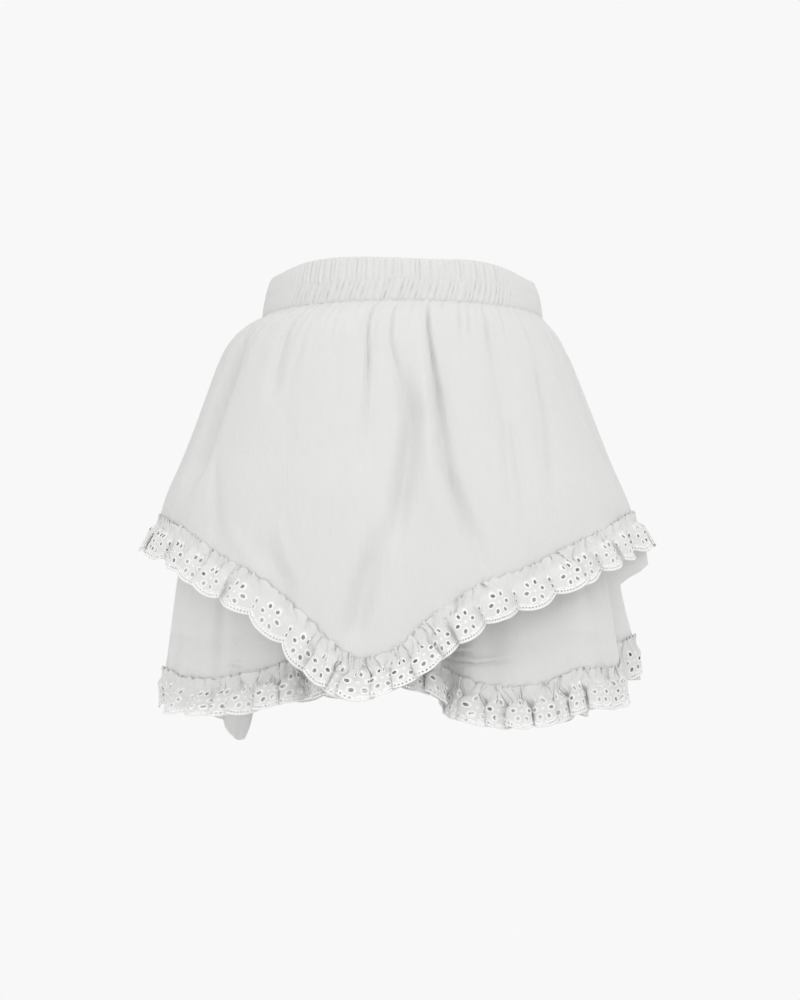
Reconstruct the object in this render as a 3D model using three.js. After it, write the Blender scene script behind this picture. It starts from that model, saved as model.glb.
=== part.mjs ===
// A mini skirt of two gathered tiers, each edged with a gathered eyelet lace, on an elasticated waistband.
// Millimetres, +Z up, the front faces -Y and +X is on the right of a person looking at the front.
// The origin is the centre of the waist, at half the height of the waistband.
// An azimuth goes round the body: 0 degrees at the front, 90 at +X, 180 at the back.
import * as THREE from "three";

// Driving sizes
const SEAM_GAP = 0.3;
const BAND_HEIGHT = 38;
const BAND_WALL = 3.2;
const BAND_GATHERS = 64;
const GATHER_DEPTH = 1.6;
const GATHER_LEAN = 2.4; // degrees that the lower row of gathers leans
const CLOTH_WALL = 1.1;
const LACE_WALL = 1;
const LACE_HEAD = 6; // frill above the stitching
const LACE_DROP = 28; // below the stitching, to the tip of a scallop
const SCALLOP_RISE = 4; // from the tip of a scallop to where two meet
const LACE_EASE = 0.5; // over the gap, so that facets stay clear
const HANG_SHARE = 0.3; // how far the lace turns from square to the hem to the fall of the cloth
const STRIP_ABOVE = 10; // of the strip of cloth under the lace, above the stitching
const HEM_TUCK = 1; // and below it
const LACE_WAVES = 50; // round each tier
const WAVE_DEPTH = 9;
const INWARD_SHARE = 0.35; // of a wave's depth, the part that goes inwards
const HEAD_WAVE = 2.2;
const WAVE_STEPS = 4; // two columns of the cloth, and one between each two
const SEAM_AZIMUTH = 90; // the side seams, left and right
const SEAM_INSET = 0.26; // at the hem, which leaves the seam gap at the narrower waist

const WHITE = { color: 0xf1f0ed, roughness: 0.85, metalness: 0 };

const table = (columns, rows) =>
  rows.map((row) => Object.fromEntries(columns.map((name, i) => [name, row[i]])));

// Half width, and depth to the front and to the back, by height. The cloth hangs a little off the middle.
const BAND_PROFILE = table(
  ["z", "half", "front", "back"],
  [
    [19, 117.5, 86, 86],
    [9.5, 120.8, 88.4, 88.4],
    [0, 121.4, 88.8, 88.8],
    [-9.5, 124.6, 91.4, 91.4],
    [-19, 124.6, 91.6, 91.6],
  ],
);
const UPPER_PROFILE = table(
  ["z", "half", "front", "back", "shift"],
  [
    [-19, 125.6, 92.5, 92.5, 0],
    [-22, 125.6, 92.5, 92.5, 0],
    [-27, 136, 99, 100, -1],
    [-35, 145, 106, 108, -4],
    [-48, 153, 112, 115, -6],
    [-63, 160, 117, 121, -6],
    [-92, 171, 125, 131, -6],
    [-121, 182, 132, 139, -6],
    [-150, 193, 139, 146, -6],
    [-178, 205, 146, 152, -6],
    [-207, 213, 152, 157, -5],
    [-260, 225, 161, 163, -3],
    [-330, 236, 171, 169, -2],
    [-400, 246, 180, 175, -2],
  ],
);
const LOWER_PROFILE = table(
  ["z", "half", "front", "back", "shift"],
  [
    [-19, 123.5, 90.4, 90.4, 0],
    [-22, 123.5, 90.4, 90.4, 0],
    [-28, 130, 94.5, 95, -1],
    [-48, 146, 104, 107, -3],
    [-92, 160, 113, 120, -3],
    [-150, 176, 123, 132, -3],
    [-207, 189, 131, 140, -3],
    [-257, 197, 137, 146, -3],
    [-314, 205, 144, 152, -2],
    [-345, 209, 148, 156, -2],
    [-420, 216, 156, 163, -2],
  ],
);

// Height of the lace's stitching, by azimuth
const UPPER_HEM = table(
  ["azimuth", "z"],
  [
    [-180, -304], [-168, -300], [-152, -276], [-134, -249], [-112, -219], [-90, -205], [-72, -212],
    [-56, -227], [-42, -246], [-30, -265], [-21, -290], [-15, -313], [-9, -327], [-3, -327], [2, -319],
    [6, -301], [11, -284], [18, -267], [27, -256], [39, -239], [52, -222], [70, -205], [90, -201],
    [110, -218], [130, -243], [150, -272], [167, -296],
  ],
);
const LOWER_HEM = table(
  ["azimuth", "z"],
  [
    [-180, -310], [-160, -316], [-148, -326], [-141, -344], [-133, -375], [-125, -346], [-118, -334],
    [-104, -330], [-80, -331], [-65, -335], [-53, -341], [-43, -340], [-32, -335], [-24, -327],
    [-14, -321], [-4, -318], [4, -319], [9, -328], [13, -343], [18, -350], [26, -352], [35, -351],
    [43, -340], [52, -327], [62, -325], [76, -318], [92, -308], [108, -316], [128, -340], [140, -340],
    [160, -318],
  ],
);

// Folds: troughs where depth is positive and ridges where it is negative. Each follows a line down the cloth.
// A fold with flat set has steep sides and a flat bottom.
const FOLD_COLUMNS = ["top", "topZ", "mid", "midZ", "end", "endZ", "width", "depth", "flat"];
const UPPER_FOLDS = table(FOLD_COLUMNS, [
  [-61, -34, -60, -125, -60, -185, 14, 5],
  [-37, -26, -38, -70, -36, -112, 8, 3.5],
  [-9, -24, -8, -100, -8, -180, 7, 2],
  [-1, -30, 3, -120, 1, -215, 12, 6],
  [7, -40, 7, -125, 8, -225, 9, -3],
  [11, -22, 11, -110, 16, -240, 8, 7],
  [33, -24, 31, -100, 30, -215, 12, 3],
  [46, -70, 44, -130, 39, -200, 10, 2.5],
  [-3, -222, -7, -262, -10, -312, 15, 5],
  [-51, -150, -47, -190, -43, -232, 9, 3.5],
  [-31, -222, -27, -245, -22, -275, 10, 4],
  [75, -60, 76, -130, 78, -205, 16, 4],
  [104, -50, 106, -130, 110, -225, 18, 5],
  [127, -24, 129, -110, 133, -240, 14, 5],
  [148, -24, 147, -120, 150, -262, 12, 5],
  [169, -24, 171, -120, 168, -290, 13, 6],
  [-170, -24, -172, -120, -175, -280, 10, 4],
  [-149, -24, -150, -110, -146, -262, 14, 6],
  [-127, -24, -128, -110, -124, -236, 12, 4],
  [-100, -40, -103, -120, -101, -215, 18, 5],
]);
const LOWER_FOLDS = table(FOLD_COLUMNS, [
  [11, -210, 11, -290, 11, -420, 12, 14],
  [3, -240, 4, -300, 4, -420, 13, -4],
  [44, -210, 46, -290, 46, -420, 24, -7],
  [76, -190, 76, -280, 75, -420, 19, 25],
  [91, -214, 91, -240, 91, -262, 22, -12],
  [97, -262, 97, -300, 98, -420, 15, -8],
  [-47, -220, -47, -290, -45, -420, 7, 3],
  [-24, -240, -22, -300, -20, -420, 12, 8],
  [-70, -220, -71, -300, -72, -420, 14, 4],
  [122, -200, 121, -290, 120, -420, 14, 13],
  [141, -200, 141, -290, 142, -420, 18, -7],
  [163, -200, 163, -290, 164, -420, 13, 13],
  [-165, -200, -164, -290, -164, -420, 14, 12],
  [-133, -240, -133, -320, -133, -420, 12, 26, true],
  [-104, -200, -105, -290, -105, -420, 14, 9],
]);

const radians = THREE.MathUtils.degToRad;

// Straight-line reading of a column of a profile, by height
function readProfile(profile, column, z) {
  const below = profile.findIndex((row) => row.z <= z);
  if (below === 0) return profile[0][column];
  const [high, low] = [profile[below - 1], profile[below]];
  return THREE.MathUtils.mapLinear(z, high.z, low.z, high[column], low[column]);
}

// Smooth reading of a hem's height, round the whole turn
function hemHeight(hem, azimuth) {
  const turn = THREE.MathUtils.euclideanModulo(azimuth + 180, 360) - 180;
  const count = hem.length;
  let k = hem.findLastIndex((row) => row.azimuth <= turn);
  const at = (i) => {
    const row = hem[THREE.MathUtils.euclideanModulo(i, count)];
    return { azimuth: row.azimuth + 360 * Math.floor(i / count), z: row.z };
  };
  const [before, start, end, after] = [k - 1, k, k + 1, k + 2].map(at);
  const span = end.azimuth - start.azimuth;
  const share = (turn - start.azimuth) / span;
  const startSlope = ((end.z - before.z) / (end.azimuth - before.azimuth)) * span;
  const endSlope = ((after.z - start.z) / (after.azimuth - start.azimuth)) * span;
  const [s2, s3] = [share ** 2, share ** 3];
  return (
    start.z * (2 * s3 - 3 * s2 + 1) +
    startSlope * (s3 - 2 * s2 + share) +
    end.z * (3 * s2 - 2 * s3) +
    endSlope * (s3 - s2)
  );
}

// How far the folds draw the cloth inwards at one place
function foldDepth(folds, azimuth, z, radius) {
  let depth = 0;
  for (const f of folds) {
    if (z > f.topZ || z < f.endZ) continue;
    const line =
      z > f.midZ
        ? THREE.MathUtils.mapLinear(z, f.topZ, f.midZ, f.top, f.mid)
        : THREE.MathUtils.mapLinear(z, f.midZ, f.endZ, f.mid, f.end);
    const turn = THREE.MathUtils.euclideanModulo(azimuth - line + 180, 360) - 180;
    const across = (radians(turn) * radius) / f.width;
    const along = (f.topZ - z) / (f.topZ - f.endZ);
    const section = Math.exp(-Math.pow(Math.abs(across), f.flat ? 4 : 2));
    depth += f.depth * section * Math.min(1, 3 * along) * Math.min(1, 4 * (1 - along));
  }
  return depth;
}

// A point of a tier's cloth, half way through its wall
function tierPoint(tier, azimuth, z) {
  const angle = radians(azimuth);
  const half = readProfile(tier.profile, "half", z);
  const deep = readProfile(tier.profile, Math.cos(angle) > 0 ? "front" : "back", z);
  const outward = new THREE.Vector3(Math.sin(angle) / half, -Math.cos(angle) / deep, 0).normalize();
  const radius = Math.hypot(half * Math.cos(angle), deep * Math.sin(angle));
  const shift = readProfile(tier.profile, "shift", z);
  return new THREE.Vector3(half * Math.sin(angle) + shift, -deep * Math.cos(angle), z).addScaledVector(
    outward,
    -foldDepth(tier.folds, azimuth, z, radius),
  );
}

const hemPoint = (tier, azimuth) => tierPoint(tier, azimuth, hemHeight(tier.hem, azimuth));

// Azimuths evenly spaced along the hem from one seam to the other, each end a little inside its seam.
// One more stands before the first and one after the last, so that both sides of a seam have the same slope.
function azimuthsAlongHem(tier, from, count) {
  const [steps, margin] = [800, 10];
  const azimuths = Array.from({ length: steps + 1 }, (_, i) => from - margin + ((180 + 2 * margin) * i) / steps);
  const points = azimuths.map((azimuth) => hemPoint(tier, azimuth));
  const lengths = [0];
  for (let i = 1; i <= steps; i++) lengths.push(lengths[i - 1] + points[i].distanceTo(points[i - 1]));
  const marginSteps = (steps * margin) / (180 + 2 * margin);
  const start = lengths[marginSteps] + SEAM_INSET;
  const total = lengths[steps - marginSteps] - SEAM_INSET - start;
  return Array.from({ length: count + 3 }, (_, i) => {
    const wanted = start + (total * (i - 1)) / count;
    const k = lengths.findLastIndex((length) => length <= wanted);
    return THREE.MathUtils.mapLinear(wanted, lengths[k], lengths[k + 1], azimuths[k], azimuths[k + 1]);
  });
}

// Outward normals of a grid of points, rows from the top down and columns with growing azimuth
function gridNormals(grid) {
  const [rows, columns] = [grid.length, grid[0].length];
  return grid.map((row, r) =>
    row.map((_, c) => {
      const along = new THREE.Vector3().subVectors(
        row[Math.min(c + 1, columns - 1)],
        row[Math.max(c - 1, 0)],
      );
      const down = new THREE.Vector3().subVectors(
        grid[Math.min(r + 1, rows - 1)][c],
        grid[Math.max(r - 1, 0)][c],
      );
      return down.cross(along).normalize();
    }),
  );
}

const movedOut = (grid, normals, distance) =>
  grid.map((row, r) => row.map((point, c) => point.clone().addScaledVector(normals[r][c], distance)));

// A grid without the columns that stand past the seams
const trimmed = (grid) => grid.map((row) => row.slice(1, -1));

// A closed wall between an outer and an inner grid that have the same columns
function wallGeometry(outer, inner) {
  const columns = outer[0].length;
  const positions = [...outer, ...inner].flat().flatMap((point) => point.toArray());
  const out = (r, c) => r * columns + c;
  const ins = (r, c) => (outer.length + r) * columns + c;
  const index = [];
  const quad = (a, b, c, d) => index.push(a, b, c, a, c, d);
  const [lastOut, lastIn, lastColumn] = [outer.length - 1, inner.length - 1, columns - 1];
  for (let c = 0; c < lastColumn; c++) {
    for (let r = 0; r < lastOut; r++) quad(out(r, c), out(r + 1, c), out(r + 1, c + 1), out(r, c + 1));
    for (let r = 0; r < lastIn; r++) quad(ins(r, c), ins(r, c + 1), ins(r + 1, c + 1), ins(r + 1, c));
    quad(out(0, c), out(0, c + 1), ins(0, c + 1), ins(0, c));
    quad(out(lastOut, c), ins(lastIn, c), ins(lastIn, c + 1), out(lastOut, c + 1));
  }
  for (const [c, facing] of [[0, 1], [lastColumn, -1]]) {
    const face = (a, b, d) => (facing > 0 ? index.push(a, b, d) : index.push(a, d, b));
    let [r, s] = [0, 0];
    while (r < lastOut || s < lastIn) {
      if (r < lastOut && (s === lastIn || r * lastIn <= s * lastOut)) {
        face(out(r, c), ins(s, c), out(r + 1, c));
        r += 1;
      } else {
        face(out(r, c), ins(s, c), ins(s + 1, c));
        s += 1;
      }
    }
  }
  const geometry = new THREE.BufferGeometry();
  geometry.setAttribute("position", new THREE.Float32BufferAttribute(positions, 3));
  geometry.setIndex(index);
  geometry.computeVertexNormals();
  return geometry;
}

function wallOf(grid, thickness) {
  const normals = gridNormals(grid);
  const side = (distance) => trimmed(movedOut(grid, normals, distance));
  return wallGeometry(side(thickness / 2), side(-thickness / 2));
}

function cloth(name, geometry) {
  const mesh = new THREE.Mesh(geometry, new THREE.MeshStandardMaterial({ ...WHITE, name }));
  mesh.name = name;
  return mesh;
}

// How deep the gathers of the waistband are, by azimuth: flatter over the hips
function gatherStrength(azimuth) {
  const turn = THREE.MathUtils.euclideanModulo(azimuth + 180, 360) - 180;
  const overHip = Math.abs(Math.abs(turn) - 88) / 30;
  return 0.3 + 0.7 * THREE.MathUtils.smoothstep(overHip, 0, 1);
}

// One half of the waistband: two rows of gathers outside, a plain face inside
function waistband(name, from) {
  const columns = BAND_GATHERS; // two for each gather of a half
  const rim = (inset, row, azimuth) => {
    const angle = radians(azimuth);
    const outward = new THREE.Vector3(Math.sin(angle) / row.half, -Math.cos(angle) / row.front, 0);
    return new THREE.Vector3(row.half * Math.sin(angle), -row.front * Math.cos(angle), row.z).addScaledVector(
      outward.normalize(),
      -inset,
    );
  };
  const edge = THREE.MathUtils.radToDeg(SEAM_GAP / 2 / BAND_PROFILE[0].front);
  const azimuthOf = (c) => from + edge + ((180 - 2 * edge) * c) / columns;
  const outer = BAND_PROFILE.map((row) =>
    Array.from({ length: columns + 1 }, (_, c) => {
      const end = c === 0 || c === columns;
      const lean = row.z < 0 && !end ? (GATHER_LEAN * row.z) / BAND_HEIGHT : 0;
      const valley = c % 2 === 0 ? GATHER_DEPTH * gatherStrength(azimuthOf(c)) : 0;
      return rim(valley - BAND_WALL / 2, row, azimuthOf(c) + lean);
    }),
  );
  const inner = [BAND_PROFILE[0], BAND_PROFILE.at(-1)].map((row) =>
    Array.from({ length: columns + 1 }, (_, c) => rim(BAND_WALL / 2, row, azimuthOf(c))),
  );
  return cloth(name, wallGeometry(outer, inner));
}

// The points of one half of a tier, from the waist seam to just below the lace's stitching.
// The last two rows bound the strip that the lace is sewn to.
function tierGrid(tier, azimuths) {
  const top = tier.profile[0].z - SEAM_GAP;
  const stripTop = (azimuth) => hemHeight(tier.hem, azimuth) + STRIP_ABOVE;
  const body = tier.rows.map((share) =>
    azimuths.map((azimuth) => tierPoint(tier, azimuth, THREE.MathUtils.lerp(top, stripTop(azimuth), share))),
  );
  const edge = azimuths.map((azimuth) => tierPoint(tier, azimuth, hemHeight(tier.hem, azimuth) - HEM_TUCK));
  return [...body, edge];
}

const tierHalf = (tier, name, from) =>
  cloth(name, wallOf(tierGrid(tier, azimuthsAlongHem(tier, from, tier.columns)), CLOTH_WALL));

// A row with one more point half way between each two
const doubled = (row) =>
  row.flatMap((point, c) => (c ? [row[c - 1].clone().add(point).multiplyScalar(0.5), point] : [point]));

// One half of a lace, made from the points of the tier's lowest strip, moved out:
// a frill above the stitching, and waves that open towards the scalloped edge
function laceHalf(tier, name, from) {
  const grid = tierGrid(tier, azimuthsAlongHem(tier, from, tier.columns)).slice(-2);
  const [stripTop, stripEdge] = grid.map(doubled);
  const [outTop, outEdge] = gridNormals(grid).map(doubled);
  const down = new THREE.Vector3(0, 0, -1);
  const clear = CLOTH_WALL / 2 + SEAM_GAP + LACE_WALL / 2 + LACE_EASE;
  const rows = [-LACE_HEAD, 0, LACE_DROP].map((across) =>
    stripTop.map((high, c) => {
      const low = stripEdge[c];
      const last = stripTop.length - 1;
      const along = stripEdge[Math.min(c + 1, last)].clone().sub(stripEdge[Math.max(c - 1, 0)]);
      const outward = outTop[c].clone().add(outEdge[c]).normalize();
      const seam = high.clone().lerp(low, STRIP_ABOVE / (STRIP_ABOVE + HEM_TUCK));
      const fall = low.clone().sub(high).normalize();
      const hang = along.cross(outward).normalize().lerp(fall, across > 0 ? HANG_SHARE : 1);
      if (across > 0) hang.lerp(down, tier.droop);
      hang.normalize();
      const wave = (1 - Math.cos((2 * Math.PI * (c - 2)) / WAVE_STEPS)) / 2;
      const middle = stripEdge[Math.max(c - 2, 0)].clone().add(stripEdge[Math.min(c + 2, last)]);
      const hollow = Math.max(0, middle.multiplyScalar(0.5).sub(low).dot(outward));
      const open = (across > 0 ? WAVE_DEPTH * (wave - INWARD_SHARE) : across < 0 ? HEAD_WAVE * wave : 0) / (1 + hollow);
      const scallop = across > 0 ? SCALLOP_RISE * (1 - wave) : 0;
      return seam.addScaledVector(hang, across - scallop).addScaledVector(outward, clear + open);
    }),
  );
  const normals = gridNormals(rows);
  const side = (distance) => trimmed(trimmed(movedOut(rows, normals, distance)));
  return cloth(name, wallGeometry(side(LACE_WALL / 2), side(-LACE_WALL / 2)));
}

const UPPER_TIER = {
  profile: UPPER_PROFILE,
  hem: UPPER_HEM,
  folds: UPPER_FOLDS,
  columns: LACE_WAVES,
  droop: 0.1,
  rows: [0, 0.01, 0.03, 0.07, 0.16, 0.3, 0.45, 0.62, 0.8, 1],
};
const LOWER_TIER = {
  profile: LOWER_PROFILE,
  hem: LOWER_HEM,
  folds: LOWER_FOLDS,
  columns: LACE_WAVES,
  droop: 0.35,
  rows: [0, 0.008, 0.03, 0.12, 0.35, 0.62, 0.74, 0.87, 1],
};

const skirt = new THREE.Group();
for (const [side, from] of [
  ["front", -SEAM_AZIMUTH],
  ["back", SEAM_AZIMUTH],
]) {
  skirt.add(
    waistband(`waistband_${side}`, from),
    tierHalf(UPPER_TIER, `upper_tier_${side}`, from),
    laceHalf(UPPER_TIER, `upper_lace_${side}`, from),
    tierHalf(LOWER_TIER, `lower_tier_${side}`, from),
    laceHalf(LOWER_TIER, `lower_lace_${side}`, from),
  );
}

export default skirt;
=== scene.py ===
"""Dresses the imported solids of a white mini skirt: two gathered tiers, each edged with gathered eyelet
lace, on a ruched elastic waistband. Tables and shaping work in millimetres, and finished pieces in metres."""

import math

import bmesh
import bpy
import numpy as np
from mathutils import Matrix, Vector


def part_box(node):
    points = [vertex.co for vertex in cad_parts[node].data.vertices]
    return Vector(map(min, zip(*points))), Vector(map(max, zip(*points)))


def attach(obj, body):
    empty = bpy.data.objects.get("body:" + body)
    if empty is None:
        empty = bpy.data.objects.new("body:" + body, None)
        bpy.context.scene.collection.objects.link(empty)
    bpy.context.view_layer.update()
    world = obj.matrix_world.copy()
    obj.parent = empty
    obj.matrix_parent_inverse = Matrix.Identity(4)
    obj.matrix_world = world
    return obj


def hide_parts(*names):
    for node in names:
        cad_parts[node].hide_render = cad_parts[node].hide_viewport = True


bl_info = {
    "name": "Tiered Ruffle Skirt",
    "version": (1, 0, 0),
    "blender": (4, 5, 0),
    "location": "View3D > Sidebar > Skirt",
    "description": "Builds a gathered skirt of two tiers with eyelet lace around its packed solids",
    "category": "Mesh",
}

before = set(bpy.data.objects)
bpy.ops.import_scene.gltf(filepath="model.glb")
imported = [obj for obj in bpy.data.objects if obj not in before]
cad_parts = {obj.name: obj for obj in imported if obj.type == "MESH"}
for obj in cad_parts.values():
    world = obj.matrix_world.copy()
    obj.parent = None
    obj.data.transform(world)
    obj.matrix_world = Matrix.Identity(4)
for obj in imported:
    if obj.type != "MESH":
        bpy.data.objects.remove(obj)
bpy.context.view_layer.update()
LOWEST_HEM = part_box("lower_lace_back")[0][2]

MM = 0.001


def table(columns, rows):
    """A short table as one array for each named column."""
    return {name: np.array([row[i] for row in rows], float) for i, name in enumerate(columns)}


# Half width, depth to the front and to the back, and shift to +X, by height
PROFILE_COLUMNS = ("z", "half", "front", "back", "shift")
UPPER_PROFILE = table(
    PROFILE_COLUMNS,
    [
        (-18, 125.4, 92.3, 92.3, 0),
        (-18.4, 125.4, 92.3, 92.3, 0),
        (-20.4, 127.8, 93.9, 94.2, -0.8),
        (-23.5, 132.4, 96.6, 97.4, -2.8),
        (-27, 137, 99.6, 100.8, -4),
        (-35, 144.6, 106, 108, -5.6),
        (-48, 152.4, 112, 115, -7),
        (-63, 159.2, 117, 121, -6.8),
        (-92, 170.6, 125, 131, -5.8),
        (-121, 181.2, 132, 139, -5.3),
        (-150, 192.2, 139, 146, -5.3),
        (-178, 204, 146, 152, -5.1),
        (-207, 212.2, 152, 157, -4.3),
        (-260, 225, 161, 163, -3),
        (-330, 236, 171, 169, -2),
        (-400, 246, 180, 175, -2),
    ],
)
LOWER_PROFILE = table(
    PROFILE_COLUMNS,
    [
        (-19, 123.5, 90.4, 90.4, 0),
        (-22, 123.5, 90.4, 90.4, 0),
        (-28, 130, 94.5, 95, -1),
        (-48, 146, 104, 107, -3),
        (-92, 160, 113, 120, -3),
        (-150, 176, 123, 132, -3),
        (-207, 189, 131, 140, -3),
        (-257, 197, 137, 146, -3),
        (-314, 205, 144, 152, -2),
        (-345, 209, 148, 156, -2),
        (-420, 216, 156, 163, -2),
    ],
)
BAND_PROFILE = table(
    ("z", "half", "deep"),
    [(19, 117.5, 86), (9.5, 120.3, 88.0), (0, 122.3, 89.4), (-9.5, 123.9, 90.6), (-19, 124.6, 91.6)],
)

# How far the rim rises above its level, by azimuth
RIM = table(
    ("azimuth", "rise"),
    [
        (-180, 0), (-120, 0), (-90, -1.2), (-65, -1.6), (-54, 0.5), (-43, 2.7), (-31, 3.3), (-20, 2.6),
        (-11, 1.7), (0, 0.5), (10, -0.1), (17, 0.2), (27, 1.1), (35, 0.8), (45, -0.9), (52, -2.6),
        (60, -4.8), (68, -6), (80, -4.5), (100, -1.5), (130, 0), (180, 0),
    ],
)

# Height of the lace's stitching, by azimuth
UPPER_HEM = table(
    ("azimuth", "z"),
    [
        (-180, -304), (-168, -300), (-152, -275), (-134, -244), (-114, -213), (-90, -202), (-72, -208),
        (-56, -221), (-42, -243), (-30, -264), (-21, -289), (-15, -311), (-9, -327), (-3, -324), (2, -313),
        (6, -297), (11, -283), (18, -267), (27, -256), (39, -238), (52, -222), (70, -205), (90, -200),
        (112, -211), (131, -239), (150, -271), (167, -296),
    ],
)
LOWER_HEM = table(
    ("azimuth", "z"),
    [
        (-180, -321), (-172, -327), (-160, -334), (-148, -339), (-138, -346), (-134, -352), (-130, -354),
        (-126.5, -347), (-123, -341), (-117, -339), (-104, -337), (-80, -337), (-65, -342), (-53, -345),
        (-43, -343), (-32, -337), (-24, -328), (-14, -321), (-4, -318), (4, -320), (8.5, -331), (13, -341),
        (18, -348), (26, -351), (35, -347), (43, -337), (52, -336), (62, -334), (76, -321), (92, -308),
        (108, -316), (119, -342), (130, -352), (142, -356), (155, -354), (164, -344), (173, -329),
    ],
)

# How low the lower tier's cloth reaches where a tongue of it hangs below its lace, at the back and on the
# wearer's right
LOWER_TONGUE = table(
    ("azimuth", "z"),
    [
        (-140, -340), (-139, -367), (-138.2, -383), (-137.2, -391.5), (-135.5, -397), (-133.2, -398.3),
        (-131.4, -396.5), (-130, -392), (-128.8, -384.5), (-127.8, -370), (-126.8, -340),
    ],
)

# Azimuths of the middles of the scallops in sight, from the wearer's right to left, how far in degrees each
# one swings out, and how it meets the next: 1 or -1 where one laps over the other, 0 where a fold is between
UPPER_SCALLOPS = table(
    ("azimuth", "swing", "lap"),
    [
        (-93, 6, 1), (-86.5, 12, -1), (-80, 16, 1), (-73.5, 12, -1), (-67, 8, 1), (-56.5, 8, -1),
        (-47.4, 12, -1), (-41, 10, 1), (-34.2, 14, -1), (-25, 6, 0), (-17.7, 10, -1), (-13.5, 6, 1),
        (-11.1, 0, -1), (-7.6, 9, 0), (-3.9, 24, -1), (-0.2, 30, -1), (3.2, 28, 1), (6.6, 16, -1),
        (11.8, 12, -1), (19.2, 6, -1), (27.6, 8, -1), (36.6, 14, 1), (42.2, 4, -1), (51.5, 12, -1),
        (61, 3, -1), (72.4, 4, 1), (79.5, 9, -1), (86, 14, 1), (92.5, 9, -1),
    ],
)
LOWER_SCALLOPS = table(
    ("azimuth", "swing", "lap"),
    [
        (-139.5, 0, 1), (-135.5, 6, -1), (-132, 8, 1), (-128.5, 8, 1), (-125, 6, -1), (-120.5, 0, 1),
        (-112.5, 0, -1), (-104, 0, 1), (-95.5, -4, -1), (-86.5, -4, 1), (-73.9, -2, 0), (-61, 24, 0),
        (-49.8, 28, -1), (-42.8, 22, -1), (-36.2, 12, -1), (-29.8, 14, 0), (-25, 10, -1), (-20.2, 8, 1),
        (-14.4, 4, 1), (-8.3, 4, -1), (-2.2, 4, 1), (3.6, 8, -1), (7.4, 16, 1), (10.8, 2, -1), (13.8, 14, -1),
        (17.4, 10, -1), (21.7, 8, -1), (26.3, 12, 0), (31.8, 14, 1), (37.4, 6, -1), (42, 8, -1),
        (48, 12, 1), (55, 3, 1), (62, 4, 1), (70, 2, -1), (78, 0, 1), (86.5, 0, 1), (94, 0, -1),
        (101.5, -3, 1), (109, 4, 1),
    ],
)

# Folds: troughs where depth is positive, ridges where it is negative, each along a line down the cloth.
# A fold with flat set has steep sides and a flat bottom.
FOLD_COLUMNS = ("top", "top_z", "mid", "mid_z", "end", "end_z", "width", "depth", "flat")


def folds(rows):
    """Each row of a fold table as a dictionary, with flat unset where the row leaves it out."""
    return [dict(zip(FOLD_COLUMNS, (*row, False))) for row in rows]


def fold_line(fold):
    """Azimuths and heights of the three points that a fold's line runs through."""
    return np.array([[fold[key + part] for key in ("top", "mid", "end")] for part in ("", "_z")])


UPPER_FOLDS = folds([
    (-61, -30, -62, -110, -61, -190, 12, 12),
    (-37, -26, -38, -70, -36, -112, 8, 3.5),
    (-9, -24, -8, -100, -8, -180, 7, 2),
    (-1, -60, 4.4, -125, -1.2, -242, 8.5, 10.5),
    (7.6, -40, 7.4, -125, 8.4, -228, 8, -3.2),
    (10.7, -22, 12.2, -165, 19, -262, 7, 6.5),
    (33, -24, 31, -100, 30, -215, 12, 3),
    (46, -70, 44, -130, 39, -200, 10, 2.5),
    (-3, -212, -7, -262, -10, -318, 10, 9.5),
    (-51, -150, -47, -190, -43, -232, 9, 2.4),
    (-31, -222, -27, -245, -22, -275, 10, 2.8),
    (75, -60, 76, -130, 78, -205, 16, 4),
    (104, -50, 106, -130, 110, -225, 18, 5),
    (127, -24, 129, -110, 133, -240, 14, 5),
    (148, -24, 147, -120, 150, -262, 12, 5),
    (169, -24, 171, -120, 168, -290, 13, 6),
    (-170, -24, -172, -120, -175, -280, 10, 4),
    (-149, -24, -150, -110, -146, -262, 14, 6),
    (-127, -24, -128, -110, -124, -236, 12, 4),
    (-100, -40, -103, -120, -101, -215, 18, 5),
])
# Creases: sharp valleys that the solids don't have, in the same columns
UPPER_CREASES = folds([
    (-61, -36, -62, -90, -61, -156, 4.5, 2.4),
    (-37, -18, -38, -62, -38, -96, 2.6, 1.7),
    (-28, -18, -28, -35, -27, -52, 1.8, 1.2),
    (-22, -18, -20, -45, -19, -72, 2, 1.4),
    (-15, -18, -15, -34, -14, -50, 1.8, 1),
    (-9, -17, -8, -75, -9, -175, 1.5, 3),
    (-4.5, -18, -4, -34, -4, -48, 1.8, 1.2),
    (-1, -17, -1, -60, 3, -112, 1.5, 3.6),
    (5.5, -18, 5, -34, 5, -54, 1.8, 1.2),
    (10.6, -17, 11.6, -110, 13, -195, 1.7, 4.2),
    (12.3, -165, 14.2, -205, 18.6, -256, 3.2, 2.2),
    (16, -18, 16, -32, 15, -46, 1.6, 1.3),
    (23, -17, 21.5, -42, 21, -72, 1.5, 2),
    (27, -17, 25, -40, 24, -68, 1.5, 1.8),
    (33, -17, 31, -54, 30, -102, 1.7, 2.1),
    (40, -18, 39, -40, 38, -66, 1.6, 1.7),
    (32, -120, 30.5, -165, 29, -222, 2.4, 1.6),
    (47, -70, 44, -137, 38, -192, 2.6, 2),
    (30, -115, 27, -175, 24, -232, 3, 0.9),
    (-52, -150, -47, -190, -43, -228, 3, 0.9),
    (-31, -115, -28, -136, -25, -158, 3, 0.9),
    (-30, -222, -26, -248, -21, -274, 3, 0.5),
    (-41, -210, -31, -250, -20, -290, 5, -1.5),
    (-28, -205, -24, -240, -19, -274, 4, -1),
    (8.4, -30, 7.8, -124, 8.6, -228, 5, -2),
])
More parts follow.
